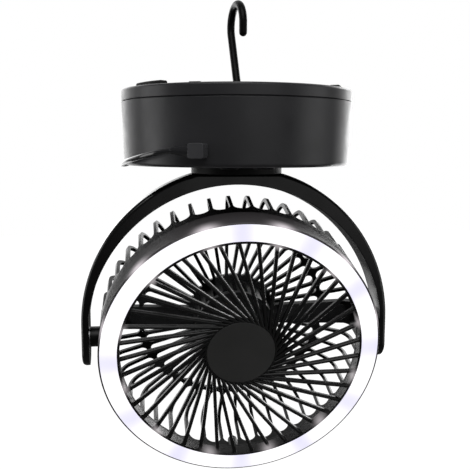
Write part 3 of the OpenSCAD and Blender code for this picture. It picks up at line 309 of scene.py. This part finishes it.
def clear_plastic(name):
    """Thin clear plastic: nearly all light passes, with a faint gloss and frosted scuffs."""
    look = Shader(name, (0.86, 0.88, 0.9), 0.12, Alpha=0.03)
    look.drive("Roughness", look.span(look.noise(50.0, 4.0), 0.08, 0.3))
    look.drive("Normal", look.bump(look.noise(30.0, 2.0), 0.0002))
    return look


def circuit_board(name):
    """Green solder mask with paler copper tracks under it."""
    look = Shader(name, (0.012, 0.08, 0.035), 0.32)
    tracks = look.add("TexBrick", Vector=look.place(), Scale=260.0, Mortar_Size=0.12)
    look.drive("Base Color", look.mix(tracks.outputs["Fac"], (0.010, 0.075, 0.03, 1),
                                      (0.03, 0.16, 0.06, 1)))
    look.drive("Normal", look.bump(tracks.outputs["Fac"], 0.00003))
    return look


def lamp_chip(name):
    """Yellow phosphor of a lit lamp."""
    look = Shader(name, (1.0, 0.85, 0.35), 0.4, Emission_Strength=2.0)
    look.bsdf.inputs["Emission Color"].default_value = (1.0, 0.95, 0.85, 1)
    look.drive("Roughness", look.span(look.noise(900.0, 2.0), 0.3, 0.6))
    return look


def nylon(name):
    """Natural nylon, slightly translucent and yellowed in patches."""
    look = Shader(name, (0.78, 0.76, 0.70), 0.42, Subsurface_Weight=0.15,
                  Subsurface_Scale=0.001)
    patch = look.span(look.noise(150.0, 4.0), 0.0, 1.0)
    look.drive("Base Color", look.mix(patch, (0.72, 0.69, 0.60, 1), (0.82, 0.81, 0.77, 1)))
    look.drive("Roughness", look.span(look.noise(80.0, 2.0), 0.36, 0.5))
    return look


def make_materials():
    """One finish for each material slot of the record."""
    looks = {
        "charcoal_plastic": moulded("charcoal_plastic", (0.036, 0.036, 0.039), 0.34),
        "yoke_plastic": moulded("yoke_plastic", (0.004, 0.004, 0.004), 0.20, grain=900.0,
                                depth=0.00001, edge=0.0008),
        "grille_plastic": moulded("grille_plastic", (0.009, 0.009, 0.009), 0.30,
                                  edge=0.0003),
        "inner_plastic": moulded("inner_plastic", (0.004, 0.004, 0.004), 0.5),
        "button_plastic": moulded("button_plastic", (0.008, 0.008, 0.008), 0.65,
                                  Specular_IOR_Level=0.2),
        "black_rubber": rubber("black_rubber", (0.016, 0.016, 0.016)),
        "cable_plastic": moulded("cable_plastic", (0.070, 0.070, 0.075), 0.22, grain=700.0,
                                 depth=0.00001),
        "hook_steel": powder_coat("hook_steel", (0.003, 0.003, 0.003)),
        "bright_steel": metal("bright_steel", (0.62, 0.62, 0.64), 0.28, (1, 12, 1)),
        "screw_steel": metal("screw_steel", (0.46, 0.46, 0.48), 0.34),
        "motor_steel": metal("motor_steel", (0.42, 0.42, 0.44), 0.38, (1, 1, 14)),
        "cell_wrap": moulded("cell_wrap", (0.02, 0.10, 0.36), 0.24, wear=1.3),
        "circuit_board": circuit_board("circuit_board"),
        "light_lens": lit_lens("light_lens"),
        "lamp_chip": lamp_chip("lamp_chip"),
        "white_nylon": nylon("white_nylon"),
        "clear_plastic": clear_plastic("clear_plastic"),
        "brass_nut": metal("brass_nut", (0.62, 0.44, 0.16), 0.3, (12, 1, 1)),
    }
    return {slot: look.material for slot, look in looks.items()}


def assign(piece, material):
    piece.data.materials.clear()
    piece.data.materials.append(material)


def finish_nodes(materials):
    """Each CAD node takes the finish of its slot in the record, and some a variant of it."""
    for part in frame["record"]["subparts"]:
        assign(nodes[part["node"]], materials[part["material_slot"]])
    variants = {
        "head_ring": rim_with_painted_glow("rim_plastic_painted_glow", (0.022, 0.022, 0.022), 0.42),
        "front_grille": guard_with_painted_glow("guard_plastic_painted_glow", (0.007, 0.007, 0.007), 0.24),
        "rear_grille": moulded("fin_plastic", (0.005, 0.005, 0.005), 0.36, edge=0.0003,
                               Specular_IOR_Level=0.25),
        "hub_cap": moulded("hub_plastic", (0.052, 0.052, 0.051), 0.55, grain=1900.0,
                           wear=2.6),
        "swivel_collar": moulded("collar_plastic", (0.006, 0.006, 0.006), 0.55,
                                 Specular_IOR_Level=0.25),
        "shell_screws": metal("black_screw", (0.05, 0.05, 0.05), 0.45),
    }
    for name, look in variants.items():
        assign(nodes[name], look.material)


# ---- Cord -------------------------------------------------------------------


def around(azimuth, radius, z):
    """Point at an azimuth from the front, a radius and a height, in mm."""
    a = math.radians(azimuth)
    return Vector((radius * math.sin(a), -radius * math.cos(a), z))


def smooth_route(points, steps=8):
    """Points of the smooth curve through the given ones."""
    route = []
    for i in range(len(points) - 1):
        a, b = points[max(i - 1, 0)], points[i]
        c, d = points[i + 1], points[min(i + 2, len(points) - 1)]
        for step in range(steps):
            t = step / steps
            route.append(0.5 * (2 * b + (c - a) * t + (2 * a - 5 * b + 4 * c - d) * t ** 2
                                + (3 * b - a - 3 * c + d) * t ** 3))
    return route + [points[-1]]


def coil_points(step=10.0):
    """The coil's turns, clockwise from where the cord reaches it to where it leaves.

    Each shift moves the cord to the next turn, or up a layer, over one sixth of a turn.
    """
    start_angle, travel, half_shift = 88.9, 1828.9, 30.0
    outer, middle, inner = COIL_RADII
    low, high = COIL_LAYER_Z
    shifts = [(324, middle - outer, 0), (684, inner - middle, 0), (984, 0, high - low),
              (1284, middle - inner, 0), (1644, outer - middle, 0)]
    count = int(travel / step)
    points = []
    for k in range(1, count):
        gone = travel * k / count
        radius, z = outer, low
        for centre, wider, higher in shifts:
            t = min(max((gone - centre + half_shift) / (2 * half_shift), 0.0), 1.0)
            share = t * t * (3 - 2 * t)
            radius += wider * share
            z += higher * share
        a = math.radians(start_angle - gone)
        points.append(Vector((COIL_AT[0] + radius * math.cos(a),
                              COIL_AT[1] + radius * math.sin(a), z)))
    return points


def add_cord():
    """The charge cable: from its strain relief round the base, coiled on the lid, to the plug."""
    look = moulded("cord_plastic", (0.018, 0.018, 0.020), 0.12, grain=700.0, depth=0.00001,
                   Specular_IOR_Level=1.0)
    assign(nodes["strain_relief"], look.material)
    route = smooth_route([around(*point) for point in CABLE_ROUTE])
    route += coil_points()
    route += smooth_route([Vector(point) for point in LEAD_ROUTE])
    curve = bpy.data.curves.new("charge_cord", "CURVE")
    curve.dimensions = "3D"
    curve.bevel_depth = CORD_DIAMETER / 2
    curve.bevel_resolution = 5
    curve.use_fill_caps = True
    spline = curve.splines.new("POLY")
    spline.points.add(len(route) - 1)
    for point, place in zip(spline.points, route):
        point.co = (*(place * MM), 1)
    spline.use_smooth = True
    curve.materials.append(look.material)
    cord = bpy.data.objects.new("charge_cord", curve)
    bpy.context.scene.collection.objects.link(cord)
    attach(cord, "base")
    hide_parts("charge_cable", "cable_coil")


# ---- Studio -----------------------------------------------------------------


def add_world():
    """White to the camera; for other rays a studio that is white behind and dim in front."""
    world = bpy.data.worlds.new("studio")
    bpy.context.scene.world = world
    world.use_nodes = True
    tree = world.node_tree
    tree.nodes.clear()

    def add(kind, **settings):
        node = tree.nodes.new("ShaderNode" + kind)
        for key, value in settings.items():
            setattr(node, key, value)
        return node

    direction = add("TexCoord").outputs["Generated"]
    dot = add("VectorMath", operation="DOT_PRODUCT")
    dot.inputs[1].default_value = CAMERA_HEADING
    tree.links.new(direction, dot.inputs[0])
    ramp = add("MapRange", interpolation_type="SMOOTHSTEP")
    for key, number in (("From Min", 0.30), ("From Max", 0.62), ("To Min", 0.07),
                        ("To Max", 1.0)):
        ramp.inputs[key].default_value = number
    tree.links.new(dot.outputs["Value"], ramp.inputs["Value"])
    seen = add("LightPath").outputs["Is Camera Ray"]
    through = add("LightPath").outputs["Is Transmission Ray"]
    either = add("Math", operation="MAXIMUM")
    tree.links.new(seen, either.inputs[0])
    tree.links.new(through, either.inputs[1])
    level = add("Math", operation="MAXIMUM")
    tree.links.new(ramp.outputs["Result"], level.inputs[0])
    tree.links.new(either.outputs[0], level.inputs[1])
    background = add("Background")
    background.inputs["Color"].default_value = (1, 1, 1, 1)
    tree.links.new(level.outputs[0], background.inputs["Strength"])
    tree.links.new(background.outputs[0], add("OutputWorld").inputs["Surface"])


def add_floor():
    """Floor well below the hanging fan: white to the camera, dark in what reflects it."""
    size, height = 9.0, -1.3
    mesh = bpy.data.meshes.new("floor")
    corners = [(x * size, y * size, height) for x, y in
               ((-1, -1), (1, -1), (1, 1), (-1, 1))]
    mesh.from_pydata(corners, [], [(0, 1, 2, 3)])
    floor = bpy.data.objects.new("floor", mesh)
    bpy.context.scene.collection.objects.link(floor)
    look = Shader("pale_floor", (0.12, 0.12, 0.12), 0.8)
    path = look.add("LightPath")
    seen = look.math("MAXIMUM", path.outputs["Is Camera Ray"],
                     path.outputs["Is Transmission Ray"])
    look.bsdf.inputs["Emission Color"].default_value = (1, 1, 1, 1)
    look.drive("Emission Strength", seen)
    assign(floor, look.material)


def add_softbox(name, place, aim, size, radiance):
    """Rectangular area lamp of a given radiance at place, facing aim."""
    lamp = bpy.data.lights.new(name, "AREA")
    lamp.shape = "RECTANGLE"
    lamp.size, lamp.size_y = size
    lamp.energy = radiance * math.pi * size[0] * size[1]
    holder = bpy.data.objects.new(name, lamp)
    holder.location = place
    holder.rotation_euler = (aim - place).to_track_quat("-Z", "Y").to_euler()
    bpy.context.scene.collection.objects.link(holder)


def add_lights():
    """Soft lamps above, beside and before the fan, and a strip behind it at each side."""
    middle = Vector((0, 0, -0.18))
    ahead = CAMERA_HEADING
    right = Vector((ahead.y, -ahead.x, 0))
    # Name, place, width and height, radiance
    lamps = [
        ("overhead", Vector((-0.25, -0.9, 1.1)), (1.5, 1.1), 2.2),
        ("left_side", middle - right * 1.1 - ahead * 0.06, (0.5, 1.0), 1.6),
        ("right_side", middle + right * 1.2 - ahead * 0.25, (0.7, 1.0), 0.9),
        ("front_fill", Vector((0.5, -1.7, 0.1)), (1.2, 1.2), 0.35),
        ("strip_left", middle - right * 0.75 + ahead * 1.3, (0.8, 1.6), 1.8),
        ("strip_right", middle + right * 0.75 + ahead * 1.3, (0.8, 1.6), 3.6),
    ]
    for name, place, size, radiance in lamps:
        add_softbox(name, place, middle, size, radiance)


def add_camera():
    lens = bpy.data.cameras.new("camera")
    lens.lens = CAMERA_LENS
    lens.sensor_width = SENSOR_WIDTH
    camera = bpy.data.objects.new("camera", lens)
    bpy.context.scene.collection.objects.link(camera)
    ahead = CAMERA_HEADING * math.cos(CAMERA_PITCH) + Vector((0, 0, math.sin(CAMERA_PITCH)))
    level = Vector((CAMERA_HEADING.y, -CAMERA_HEADING.x, 0))
    top = level.cross(ahead)
    right = level * math.cos(CAMERA_ROLL) + top * math.sin(CAMERA_ROLL)
    up = top * math.cos(CAMERA_ROLL) - level * math.sin(CAMERA_ROLL)
    turn = Matrix((right, up, -ahead)).transposed()
    camera.matrix_world = Matrix.Translation(CAMERA_AT) @ turn.to_4x4()
    bpy.context.scene.camera = camera


# ---- Scene ------------------------------------------------------------------

bpy.context.scene.view_settings.view_transform = "Standard"
add_camera()
add_world()
add_floor()
add_lights()
finish_nodes(make_materials())
add_cord()
